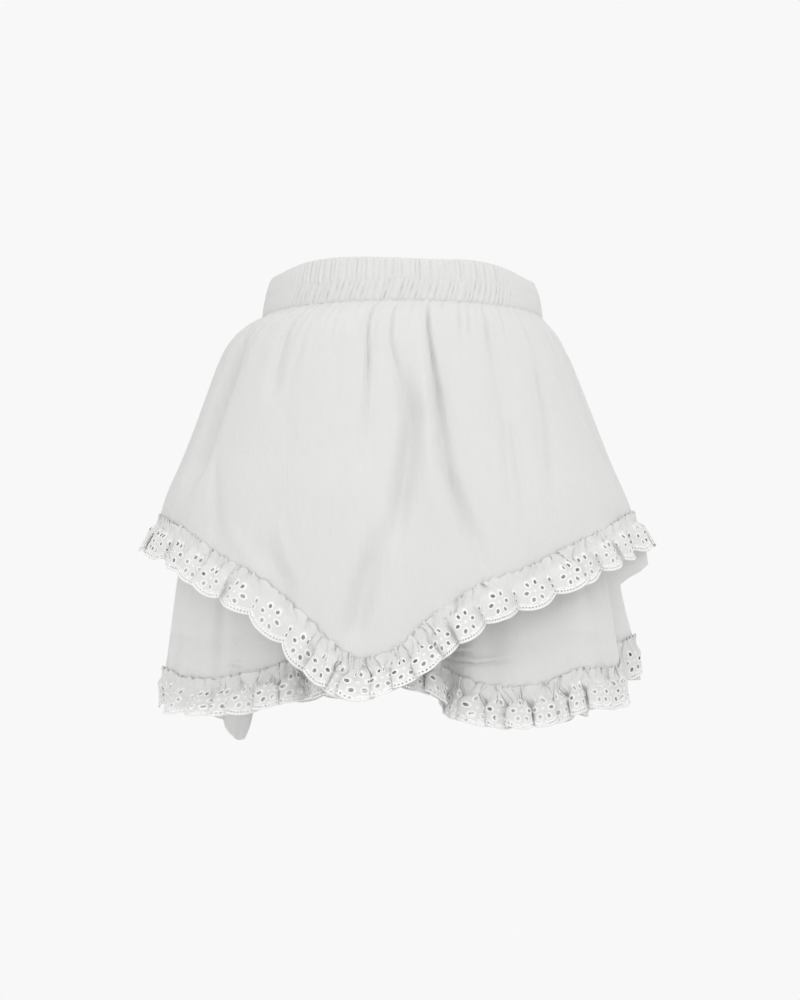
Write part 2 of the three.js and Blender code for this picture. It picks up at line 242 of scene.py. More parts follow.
# Creases by the sides of the lower tier's front
LOWER_CREASES = folds([
    (-48, -240, -48, -290, -47, -345, 2.5, 1.2),
    (-61, -230, -62, -280, -62, -330, 4, 1),
    (30, -235, 31, -275, 31, -325, 5, 1.2),
    (52, -225, 52, -270, 53, -325, 5, 1.6),
    (60, -215, 60, -260, 60, -320, 5, 1.4),
])
LOWER_FOLDS = folds([
    (11, -210, 11, -290, 11, -420, 12, 14),
    (3, -240, 4, -300, 4, -420, 13, -4),
    (44, -210, 46, -290, 46, -420, 24, -7),
    (76, -190, 76, -280, 75, -420, 19, 25),
    (91, -196, 91, -232, 91, -254, 22, -28),
    (20, -235, 21, -290, 22, -345, 12, 5),
    (97, -262, 97, -300, 98, -420, 15, -8),
    (-47, -220, -47, -290, -45, -420, 7, 3),
    (-24, -240, -22, -300, -20, -420, 12, 8),
    (-70, -220, -71, -300, -72, -420, 14, 4),
    (122, -200, 121, -290, 120, -420, 14, 13),
    (141, -200, 141, -290, 142, -420, 18, -7),
    (163, -200, 163, -290, 164, -420, 13, 13),
    (-165, -200, -164, -290, -164, -420, 14, 12),
    (-133, -240, -133, -320, -133, -420, 11, 14, True),
    (-104, -200, -105, -290, -105, -420, 14, 9),
])
# Creases pulled level across the lower tier, in the same columns, though top to end goes round the skirt
LOWER_PULLS = folds([
    (7, -318.5, 17.5, -324.8, 27.5, -321, 1.1, 2.8),
    (9, -314, 12.5, -315.5, 17.5, -315, 1.1, 2),
    (-44, -326, -41, -327.5, -37.5, -328.5, 1.1, 1.6),
    (-40.5, -333.5, -38, -334.5, -34.5, -336, 1.1, 1.8),
])


# Reading the tables

def smooth_reading(places, values, at):
    """A smooth curve through a table's values, read at many places at once."""
    slopes = np.empty_like(values)
    slopes[1:-1] = (values[2:] - values[:-2]) / (places[2:] - places[:-2])
    slopes[0] = (values[1] - values[0]) / (places[1] - places[0])
    slopes[-1] = (values[-1] - values[-2]) / (places[-1] - places[-2])
    k = np.clip(np.searchsorted(places, at) - 1, 0, len(places) - 2)
    span = places[k + 1] - places[k]
    s = (at - places[k]) / span
    return (
        values[k] * (2 * s**3 - 3 * s**2 + 1)
        + slopes[k] * span * (s**3 - 2 * s**2 + s)
        + values[k + 1] * (3 * s**2 - 2 * s**3)
        + slopes[k + 1] * span * (s**3 - s**2)
    )


def unit(rows):
    """Each row of an array as a direction of length 1."""
    return rows / np.linalg.norm(rows, axis=-1, keepdims=True)


def out_of_oval(angle, half, deep):
    """Level directions square to an oval, at angles round it."""
    return unit(np.stack([np.sin(angle) / half, -np.cos(angle) / deep], axis=-1))


def turn_from(azimuth, line):
    """Degrees from a line to an azimuth, between -180 and 180."""
    return (azimuth - line + 180) % 360 - 180


def eased(value, low, high):
    """0 up to low, 1 from high, and a smooth step between."""
    s = np.clip((value - low) / (high - low), 0, 1)
    return s * s * (3 - 2 * s)


def ripple(azimuth, counts, seed):
    """Waves round the whole turn, with seeded heights and phases, between about -1 and 1."""
    rng = np.random.default_rng(seed)
    angle = np.radians(azimuth)
    waves = [rng.uniform(0.5, 1) * np.cos(count * angle + rng.uniform(0, 2 * math.pi)) for count in counts]
    return sum(waves) / math.sqrt(len(counts))


class Tier:
    """The surface of one tier's cloth, by azimuth in degrees and height in millimetres."""

    def __init__(self, profile, hem, folds, creases, droop, gathers, seed, pulls=(), tongue=None):
        self.profile, self.folds, self.creases, self.droop = profile, folds, creases, droop
        self.pulls, self.tongue = pulls, tongue
        self.top = profile["z"][0]
        self.hem_places = np.concatenate([hem["azimuth"] + turn for turn in (-360, 0, 360)])
        self.hem_heights = np.tile(hem["z"], 3)
        self.seed = seed
        rng = np.random.default_rng(seed)
        self.gathers = [
            {
                "azimuth": -180 + 360 * (i + rng.uniform(0.1, 0.9)) / gathers,
                "drift": rng.normal(0, 1.6),
                "length": 14 + 130 * rng.uniform() ** 2.2,
                "width": rng.uniform(1.5, 2.6),
                "depth": rng.uniform(0.5, 1.25),
            }
            for i in range(gathers)
        ]

    def hem_height(self, azimuth):
        return smooth_reading(self.hem_places, self.hem_heights, turn_from(azimuth, 0))

    def cloth_end(self, azimuth, tuck):
        """Height of the cloth's bottom edge: a tuck below the lace's stitching, or lower in its tongue."""
        end = self.hem_height(azimuth) - tuck
        if self.tongue is None:
            return end
        return np.minimum(end, np.interp(turn_from(azimuth, 0), self.tongue["azimuth"], self.tongue["z"]))

    def read(self, column, z):
        value = smooth_reading(self.profile["z"][::-1], self.profile[column][::-1], z)
        return np.where(z > self.profile["z"][1], self.profile[column][0], value)

    @staticmethod
    def along_and_across(fold, azimuth, z, radius):
        """Where points lie by a fold's line: the share of its length, and widths to its side."""
        places, heights = fold_line(fold)
        line = np.interp(-z, -heights, places)
        across = np.abs(np.radians(turn_from(azimuth, line)) * radius / fold["width"])
        return (fold["top_z"] - z) / (fold["top_z"] - fold["end_z"]), across

    def fold_depth(self, azimuth, z, radius):
        """How far the folds that the solids have too draw the cloth inwards."""
        depth = np.zeros_like(z)
        for fold in self.folds:
            along, across = self.along_and_across(fold, azimuth, z, radius)
            # Full from a third of its length down to its last quarter
            fade = np.clip(3 * along, 0, 1) * np.clip(4 * (1 - along), 0, 1)
            depth += fold["depth"] * np.exp(-(across ** (4 if fold["flat"] else 2))) * fade
        return depth

    def crease_depth(self, azimuth, z, radius):
        """How far the creases draw the cloth inwards: sharp at the line, and wider further down."""
        depth = np.zeros_like(z)
        for crease in self.creases:
            along, across = self.along_and_across(crease, azimuth, z, radius)
            across /= 0.7 + 0.9 * np.clip(along, 0, 1)
            fade = np.clip(9 * along, 0, 1) * np.clip(1.6 * (1 - along), 0, 1)
            section = np.exp(-(across**1.25)) - 0.22 * np.exp(-((across - 2.6) ** 2))
            depth += crease["depth"] * fade * section
        return depth

    def pull_depth(self, azimuth, z):
        """How far the creases pulled level draw the cloth inwards, each with a soft ridge above it."""
        azimuth = turn_from(azimuth, 0)
        depth = np.zeros_like(z)
        for pull in self.pulls:
            places, heights = fold_line(pull)
            line = np.interp(azimuth, places, heights)
            along = (azimuth - places[0]) / (places[2] - places[0])
            fade = np.clip(5 * along, 0, 1) * np.clip(3 * (1 - along), 0, 1)
            across = (z - line) / pull["width"]
            section = np.exp(-(across**2)) - 0.6 * np.exp(-((across - 2.6) ** 2) / 2)
            depth += pull["depth"] * fade * section
        return depth

    def gather_depth(self, azimuth, z, radius):
        """Small gathers from the waist seam, each a trough between two ridges, that fade downwards."""
        below = self.top - z
        depth = np.zeros_like(z)
        for g in self.gathers:
            across = np.radians(turn_from(azimuth, g["azimuth"] + g["drift"] * below / 100)) * radius
            across = np.abs(across) / (g["width"] * (1 + below / 38))
            fade = np.clip(1 - below / g["length"], 0, 1) ** 1.3
            depth += g["depth"] * fade * (np.exp(-(across**2)) - 0.4 * np.exp(-((across - 1.9) ** 2)))
        return depth * np.clip(0.3 + below / 6, 0, 1) * (1 + eased(below, 5, 60))

    def surface(self, azimuth, z, fine=True):
        """Points half way through the wall, with the fine gathers and puckers where they are asked for."""
        angle = np.radians(azimuth)
        half = self.read("half", z)
        deep = np.where(np.cos(angle) > 0, self.read("front", z), self.read("back", z))
        outward = out_of_oval(angle, half, deep)
        radius = np.hypot(half * np.cos(angle), deep * np.sin(angle))
        inwards = self.fold_depth(azimuth, z, radius)
        if fine:
            rise = z - self.hem_height(azimuth)
            inwards = inwards + self.gather_depth(azimuth, z, radius) + self.crease_depth(azimuth, z, radius)
            inwards += self.pull_depth(azimuth, z)
            billows = ripple(azimuth + 0.02 * z, (7, 11, 16, 23), self.seed + 1)
            puckers = ripple(azimuth, (61, 83, 97, 118), self.seed + 2)
            inwards += 0.8 * eased(-z, 60, 220) * billows
            inwards += 0.5 * np.exp(-np.clip(rise, 0, None) / 9) * puckers
        return np.stack(
            [
                half * np.sin(angle) + self.read("shift", z) - outward[..., 0] * inwards,
                -deep * np.cos(angle) - outward[..., 1] * inwards,
                z,
            ],
            axis=-1,
        )


UPPER_TIER = Tier(UPPER_PROFILE, UPPER_HEM, UPPER_FOLDS, UPPER_CREASES, droop=0.1, gathers=150, seed=3)
LOWER_TIER = Tier(
    LOWER_PROFILE, LOWER_HEM, LOWER_FOLDS, LOWER_CREASES, droop=0.6, gathers=60, seed=8,
    pulls=LOWER_PULLS, tongue=LOWER_TONGUE,
)


# Making meshes

def points_of(bm):
    """The places of a mesh's vertices as rows of an array."""
    return np.array([v.co for v in bm.verts])


def place_points(bm, points):
    """Moves a mesh's vertices to the rows of an array."""
    for vert, point in zip(bm.verts, points):
        vert.co = point


def cloth_grid(columns, rows, width, height):
    """A flat grid with shares 0 to 1 along X and Y, and its flat size in metres in its UV map."""
    bm = bmesh.new()
    bm.loops.layers.uv.new("flat")
    bmesh.ops.create_grid(bm, x_segments=columns, y_segments=rows, size=0.5, calc_uvs=True)
    bmesh.ops.translate(bm, verts=bm.verts, vec=(0.5, 0.5, 0))
    uv = bm.loops.layers.uv.active
    for face in bm.faces:
        for loop in face.loops:
            loop[uv].uv = (loop.vert.co.x * width, loop.vert.co.y * height)
    return bm


def extruded(bm, edges, place):
    """Extrudes a line of edges, puts its new vertices where a function says, and returns the new line."""
    made = bmesh.ops.extrude_edge_only(bm, edges=edges)["geom"]
    fresh = {v for v in made if isinstance(v, bmesh.types.BMVert)}
    for vert in fresh:
        vert.co = place(vert.co)
    return [e for e in made if isinstance(e, bmesh.types.BMEdge) and fresh.issuperset(e.verts)]


def smooth_object(bm, name, material):
    """Makes a smooth object of a mesh, and puts it in the scene."""
    mesh = bpy.data.meshes.new(name)
    bm.to_mesh(mesh)
    bm.free()
    mesh.shade_smooth()
    mesh.materials.append(material)
    made = bpy.data.objects.new(name, mesh)
    bpy.context.scene.collection.objects.link(made)
    return made


def finished(bm, name, material, replaced=()):
    """Makes a mesh a piece that rides on the skirt."""
    piece = smooth_object(bm, name, material)
    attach(piece, "root")
    if replaced:
        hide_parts(*replaced)
    return piece


def thicken(piece, thickness):
    """Gives a sheet its wall, half to each side."""
    wall = piece.modifiers.new("cloth wall", "SOLIDIFY")
    wall.thickness = thickness
    wall.offset = 0
    wall.use_even_offset = False


def lengths_along(points):
    """Running length of a line of points."""
    return np.concatenate([[0], np.cumsum(np.linalg.norm(np.diff(points, axis=0), axis=1))])


# Shader maths

class Socket:
    """A shader value that Python's operators work on: each operation adds its Math node."""

    def __init__(self, shader, output):
        self.shader, self.output = shader, output

    def _math(self, operation, *values):
        return self.shader.node("ShaderNodeMath", {"operation": operation}, dict(enumerate(values)))

    def __add__(self, other):
        return self._math("ADD", self, other)

    def __sub__(self, other):
        return self._math("SUBTRACT", self, other)

    def __rsub__(self, other):
        return self._math("SUBTRACT", other, self)

    def __mul__(self, other):
        return self._math("MULTIPLY", self, other)

    def __pow__(self, other):
        return self._math("POWER", self, other)

    def size(self):
        return self._math("ABSOLUTE", self)

    def fraction(self):
        return self._math("FRACT", self)

    def highest(self, other):
        return self._math("MAXIMUM", self, other)

    def clamped(self):
        return self._math("MAXIMUM", self._math("MINIMUM", self, 1), 0)

    __radd__, __rmul__ = __add__, __mul__


class Shader:
    """A material under construction."""

    def __init__(self, name):
        self.material = bpy.data.materials.new(name)
        self.material.use_nodes = True
        self.tree = self.material.node_tree
        self.surface = self.tree.nodes["Principled BSDF"]

    def node(self, kind, settings=None, inputs=None, output=0):
        """A node of a type, with its settings made first, then the values or links of its sockets."""
        node = self.tree.nodes.new(kind)
        for name, value in (settings or {}).items():
            setattr(node, name, value)
        for socket, value in (inputs or {}).items():
            if isinstance(value, Socket):
                self.tree.links.new(value.output, node.inputs[socket])
            else:
                node.inputs[socket].default_value = value
        return Socket(self, node.outputs[output])

    def feed(self, socket, value):
        """Links what changes over the surface, and sets what doesn't."""
        if isinstance(value, Socket):
            self.tree.links.new(value.output, self.surface.inputs[socket])
        else:
            self.surface.inputs[socket].default_value = value

    def noise(self, vector, scale, detail=2.0, roughness=0.5):
        return self.node(
            "ShaderNodeTexNoise",
            inputs={"Vector": vector, "Scale": scale, "Detail": detail, "Roughness": roughness},
        )

    def stretched(self, vector, scale):
        return self.node("ShaderNodeMapping", {"vector_type": "POINT"}, {"Vector": vector, "Scale": scale})

    def stripes(self, vector, direction, per_metre):
        settings = {"wave_type": "BANDS", "bands_direction": direction, "wave_profile": "SIN"}
        inputs = {"Vector": vector, "Scale": per_metre * math.pi / 10, "Distortion": 0.6, "Detail": 1.0}
        return self.node("ShaderNodeTexWave", settings, inputs)

    def tinted(self, share, low, high):
        """A colour between two, by a share."""
        return self.node(
            "ShaderNodeMix", {"data_type": "RGBA"}, {0: share, 6: (*low, 1), 7: (*high, 1)}, output=2
        )

    def bump(self, height, strength, distance):
        inputs = {"Height": height, "Strength": strength, "Distance": distance}
        return self.node("ShaderNodeBump", inputs=inputs)


def darker(colour, share):
    return tuple(channel * (1 - share) for channel in colour)


def cotton_material(name, colour, crinkle):
    """Light plain-woven cotton with slubs and soft crinkles down its length."""
    shader = Shader(name)
    flat = shader.node("ShaderNodeUVMap", {"uv_map": "flat"})
    warp, weft = 2300, 2100  # threads in a metre
    weave = shader.stripes(flat, "X", warp) * shader.stripes(flat, "Y", weft)
    slubs = shader.noise(shader.stretched(flat, (900, 60, 1)), 1.0, 3.0)
    creases = shader.noise(shader.stretched(flat, (95, 26, 1)), 1.0, 4.0, 0.6)
    cloud = shader.noise(flat, 22.0, 3.0)
    shader.feed("Base Color", shader.tinted(cloud * 0.6 + slubs * 0.4, darker(colour, 0.035), colour))
    shader.feed("Roughness", 0.84 + 0.1 * slubs)
    height = weave * 0.06 + slubs * 0.12 + creases * crinkle
    shader.feed("Normal", shader.bump(height, 0.6, 0.0028))
    shader.feed("Sheen Weight", 0.12)
    shader.feed("Sheen Roughness", 0.5)
    shader.feed("Specular IOR Level", 0.25)
    return shader.material


def lace_material(name, colour, lace):
    """Cotton ground with embroidery standing up from it. The threads of the rings, edge, arcs and knots are
    painted lighter than the ground, a painted highlight where they catch more light.
    """
    shader = Shader(name)
    flat = shader.node("ShaderNodeUVMap", {"uv_map": "flat"})
    rings = shader.node("ShaderNodeAttribute", {"attribute_name": "embroidery"}, output=2)
    # A knot in the middle of each flower, and an arc that follows the scallop's edge, in millimetres
    x = shader.node("ShaderNodeSeparateXYZ", inputs={0: flat}) * (1 / MM)
    y = shader.node("ShaderNodeSeparateXYZ", inputs={0: flat}, output=1) * (1 / MM)
    across = (x * (1 / lace.width) + (lace.START / lace.width + 0.5)).fraction() * lace.width - lace.width / 2
    along_edge = across * across * (4 * lace.EDGE_RISE / lace.width**2)
    arc = 1 - ((y - along_edge) + (lace.drop - lace.ARC)).size() * 1.6
    knot = 1.6 - (across * across + (y - lace.FLOWER) * (y - lace.FLOWER)) ** 0.5
    fuzz = shader.noise(flat, 900.0, 2.0)
    # The embroidery's mask: it lifts the relief, and it paints the threads lighter as a painted highlight.
    raised_and_lit = rings.highest(arc * 0.8).highest(knot.clamped() * 0.7)
    warp, weft, embroidery = 1500, 1400, 1900  # threads in a metre
    ground = shader.stripes(flat, "X", warp) * shader.stripes(flat, "Y", weft)
    threads = shader.stripes(flat, "DIAGONAL", embroidery)
    # Painted highlight: the embroidery takes the lace's colour, and the ground stays 27 percent darker.
    shader.feed("Base Color", shader.tinted(raised_and_lit * 0.9 + fuzz * 0.1, darker(colour, 0.27), colour))
    shader.feed("Roughness", 0.82 - 0.12 * raised_and_lit)
    height = ground * (1 - raised_and_lit) * 0.3 + threads * raised_and_lit * 0.55 + fuzz * 0.25 + raised_and_lit * 0.6
    shader.feed("Normal", shader.bump(height, 0.6, 0.0006))
    shader.feed("Sheen Weight", 0.1)
    shader.feed("Specular IOR Level", 0.3)
    return shader.material


def thread_material(name, colour):
    """Twisted sewing thread, with the grooves of its twist painted darker as painted shade."""
    shader = Shader(name)
    place = shader.node("ShaderNodeTexCoord", output=3)
    twist = shader.stripes(place, "DIAGONAL", 2500)
    # Painted shade: the colour is darker along the grooves of the twist.
    shader.feed("Base Color", shader.tinted(twist, darker(colour, 0.08), colour))
    shader.feed("Roughness", 0.6)
    shader.feed("Normal", shader.bump(twist, 0.5, 0.0002))
    return shader.material


# Settings that a user would change

class SkirtBandSettings(bpy.types.PropertyGroup):
    gathers: bpy.props.IntProperty(
        name="Gathers", description="Gathers round the waistband", default=150, min=20, max=240
    )
    depth: bpy.props.FloatProperty(
        name="Gather depth", description="From the ridge of a gather to its valley", default=0.0023,
        min=0, unit="LENGTH", subtype="DISTANCE",
    )
    lean: bpy.props.FloatProperty(
        name="Lean", description="How far the lower row of gathers leans over its height",
        default=math.radians(2.6), subtype="ANGLE", unit="ROTATION",
    )


class SkirtClothSettings(bpy.types.PropertyGroup):
    wall: bpy.props.FloatProperty(
        name="Cloth thickness", description="Thickness of the tiers' cloth", default=0.0006,
        min=0.0001, unit="LENGTH", subtype="DISTANCE",
    )
    colour: bpy.props.FloatVectorProperty(
        name="Cotton", description="Colour of the cotton", default=(0.693, 0.69, 0.685),
        min=0, max=1, subtype="COLOR",
    )
    # The lower tier's cotton: a lighter copy of the same cotton, painted light that stands in for light
    # coming through its one layer of cloth.
    single: bpy.props.FloatVectorProperty(
        name="Single layer", description="Colour of the cotton where light comes through one layer of it",
        default=(0.762, 0.759, 0.754), min=0, max=1, subtype="COLOR",
    )
    crinkle: bpy.props.FloatProperty(
        name="Crinkle", description="Share of the relief that is soft creases", default=0.8, min=0, max=2
    )


class SkirtLaceSettings(bpy.types.PropertyGroup):
    drop: bpy.props.FloatProperty(
        name="Drop", description="From the stitching down to the tip of a scallop", default=0.028,
        min=0.01, unit="LENGTH", subtype="DISTANCE",
    )
    head: bpy.props.FloatProperty(
        name="Frill", description="Height of the small frill above the stitching", default=0.0075,
        min=0.001, unit="LENGTH", subtype="DISTANCE",
    )
    scallop: bpy.props.FloatProperty(
        name="Scallop width", description="Flat width of one scallop", default=0.038,
        min=0.01, unit="LENGTH", subtype="DISTANCE",
    )
    fullness: bpy.props.FloatProperty(
        name="Fullness", description="Flat length of lace for each length of hem where none is seen",
        default=1.42, min=1, max=2,
    )
    # The embroidery's colour, painted lighter than the cotton as a painted highlight. The lace's ground is
    # darker than it.
    colour: bpy.props.FloatVectorProperty(
        name="Lace", description="Colour of the lace", default=(0.93, 0.93, 0.92),
        min=0, max=1, subtype="COLOR",
    )


class SkirtStageSettings(bpy.types.PropertyGroup):
    backdrop: bpy.props.FloatVectorProperty(
        name="Backdrop", description="Colour of the floor and backdrop", default=(0.939, 0.939, 0.939),
        min=0, max=1, subtype="COLOR",
    )
    floor_drop: bpy.props.FloatProperty(
        name="Floor distance", description="From the lowest hem down to the floor", default=0.24,
        min=0, unit="LENGTH", subtype="DISTANCE",
    )
    camera_lens: bpy.props.FloatProperty(
        name="Lens", description="Focal length on a 36 mm sensor", default=60.7, min=10, unit="CAMERA"
    )


def shared_material(name, make, *values):
    """The material of a name, made the first time that a piece asks for it."""
    return bpy.data.materials.get(name) or make(name, *values)


class SKIRT_OT_waistband(bpy.types.Operator):
    """Builds the waistband: two rows of elastic gathers with a stitched line between, and a rolled rim"""

    bl_idname = "skirt.waistband"
    bl_label = "Waistband"

    COLUMNS, ROWS = 1200, 40
    HALF_HEIGHT = 19
    GIRTH_RADII = (121.0, 88.6)  # of the oval whose girth the pattern's width follows
    WEAVE_SPREAD = 1.8  # cloth in the gathers for each length of band
    CLOTH_HEIGHT = 84  # of cloth, up the outside and down the inside

    # Way round the band's section, from the inner bottom edge over the rim and back, by share of the rows
    SECTION = table(
        ("share", "z", "inset"),
        [
            (0, -19, 1.2), (0.03, -18.4, 1.6), (0.3, 17, 1.6), (0.34, 18.5, 1.2), (0.38, 19.2, 0.2),
            (0.42, 18.8, -0.9), (0.46, 17.4, -1.5), (0.66, 1.0, -1.6), (0.685, 0, -1.1), (0.71, -1.0, -1.6),
            (0.91, -16.4, -1.6), (0.945, -18.2, -1.1), (0.975, -19.2, -0.2), (1, -19, 1.2),
        ],
    )

    def strength(self, azimuth, outside):
        """The gathers lie nearly flat over the hips, up to 34 degrees from each side."""
        from_hip = np.abs(np.abs(turn_from(azimuth, 0)) - 90)
        return (0.12 + 0.88 * eased(from_hip, 34, 47)) * (1 if outside else 0.5)

    def gathers(self, settings, azimuth, seed):
        """Rounded ridges between sharp valleys, of uneven width, from 0 to 1."""
        turns = settings.gathers * azimuth / 360 + 0.3 * ripple(azimuth, (17, 29, 41, 53), seed)
        deep = np.clip(0.85 + 0.3 * ripple(azimuth, (13, 37, 59, 71), seed + 1), 0.3, 1.4)
        return 1 - deep * (1 - np.abs(np.sin(math.pi * turns)) ** 0.38)

    def execute(self, context):
        band, cloth = context.scene.skirt_band, context.scene.skirt_cloth
        half, deep = self.GIRTH_RADII
        girth = 2 * math.pi * math.sqrt((half**2 + deep**2) / 2)
        bm = cloth_grid(self.COLUMNS, self.ROWS, girth * MM * self.WEAVE_SPREAD, self.CLOTH_HEIGHT * MM)
        shares = points_of(bm)
        # The section runs the other way, so that the faces point out of the wall.
        azimuth, share = 360 * shares[:, 0] - 180, 1 - shares[:, 1]
        z = np.interp(share, self.SECTION["share"], self.SECTION["z"])
        inset = np.interp(share, self.SECTION["share"], self.SECTION["inset"])
        height = np.clip(z, -self.HALF_HEIGHT, self.HALF_HEIGHT)
        half, deep = (
            smooth_reading(BAND_PROFILE["z"][::-1], BAND_PROFILE[column][::-1], height)
            for column in ("half", "deep")
        )
        upper = self.gathers(band, azimuth, 21)
        lean = math.degrees(band.lean) * (z / self.HALF_HEIGHT)
        lower = self.gathers(band, azimuth - lean, 33)
        pinch = 0.6 + 0.4 * eased(np.abs(z), 0.5, 4)
        rim = 1 - 0.3 * eased(z, 14, self.HALF_HEIGHT)
        depth = (np.where(z > 0, upper, lower) - 1) * pinch * rim
        outside = inset < 0
        relief = band.depth / MM * (depth + 0.2) * np.where(
            outside, self.strength(azimuth, True), -self.strength(azimuth, False)
        )
        relief *= np.clip(np.abs(inset) / 1.1, 0, 1)
        angle = np.radians(azimuth)
        moved = (relief - inset)[:, None] * out_of_oval(angle, half, deep)
        x, y = half * np.sin(angle) + moved[:, 0], -deep * np.cos(angle) + moved[:, 1]
        points = np.stack([x, y, z], axis=-1)
        points[:, 2] += np.where(z > 18, 0.5 * (upper - 0.6) * self.strength(azimuth, True), 0)
        points[:, 2] += smooth_reading(RIM["azimuth"], RIM["rise"], azimuth) * eased(z, -4, self.HALF_HEIGHT)
        place_points(bm, points * MM)
        bmesh.ops.remove_doubles(bm, verts=bm.verts, dist=1e-6)
        bmesh.ops.recalc_face_normals(bm, faces=bm.faces)
        cotton = shared_material("waistband cotton", cotton_material, tuple(cloth.colour), cloth.crinkle)
        piece = finished(bm, "waistband", cotton, ("waistband_front", "waistband_back"))
        return {"FINISHED"}


class SKIRT_OT_tiers(bpy.types.Operator):
    """Builds the two gathered tiers from the waist seam to their hems"""

    bl_idname = "skirt.tiers"
    bl_label = "Tiers"

    TUCK = 1.0  # of cloth left below the lace's stitching
    SEWN_IN = 1.2  # of cloth inside the waistband

    def tier(self, context, name, tier, columns, rows, flat, colour):
        """One tier as a sheet round the whole turn."""
        cloth = context.scene.skirt_cloth
        bm = cloth_grid(columns, len(rows) - 1, flat[0], flat[1])
        shares = points_of(bm)
        azimuth = 360 * shares[:, 0] - 180
        # Shares run upwards from the hem, so that the faces point outwards.
        down = np.interp(1 - shares[:, 1], np.linspace(0, 1, len(rows)), rows)
        top = tier.top + self.SEWN_IN
        hem = tier.cloth_end(azimuth, self.TUCK)
        place_points(bm, tier.surface(azimuth, top + (hem - top) * down) * MM)
        bmesh.ops.remove_doubles(bm, verts=bm.verts, dist=1e-6)
        cotton = shared_material(name + " cotton", cotton_material, tuple(colour), cloth.crinkle)
        piece = finished(bm, name, cotton, (name + "_front", name + "_back"))
        thicken(piece, cloth.wall)
        return piece

    def execute(self, context):
        cloth = context.scene.skirt_cloth
        upper_rows = np.linspace(0, 1, 55) ** 1.3
        upper = self.tier(context, "upper_tier", UPPER_TIER, 900, upper_rows, (1.36, 0.31), cloth.colour)
        # Closer together where creases are pulled level, and closest by the hem and its tongue
        lower_rows = np.interp(np.arange(59), (0, 15, 32, 58), (0, 0.55, 0.87, 1))
        # The lower tier takes the lighter copy of the cotton, painted light in place of light through one
        # layer.
        lower = self.tier(context, "lower_tier", LOWER_TIER, 720, lower_rows, (1.3, 0.34), cloth.single)
        return {"FINISHED"}


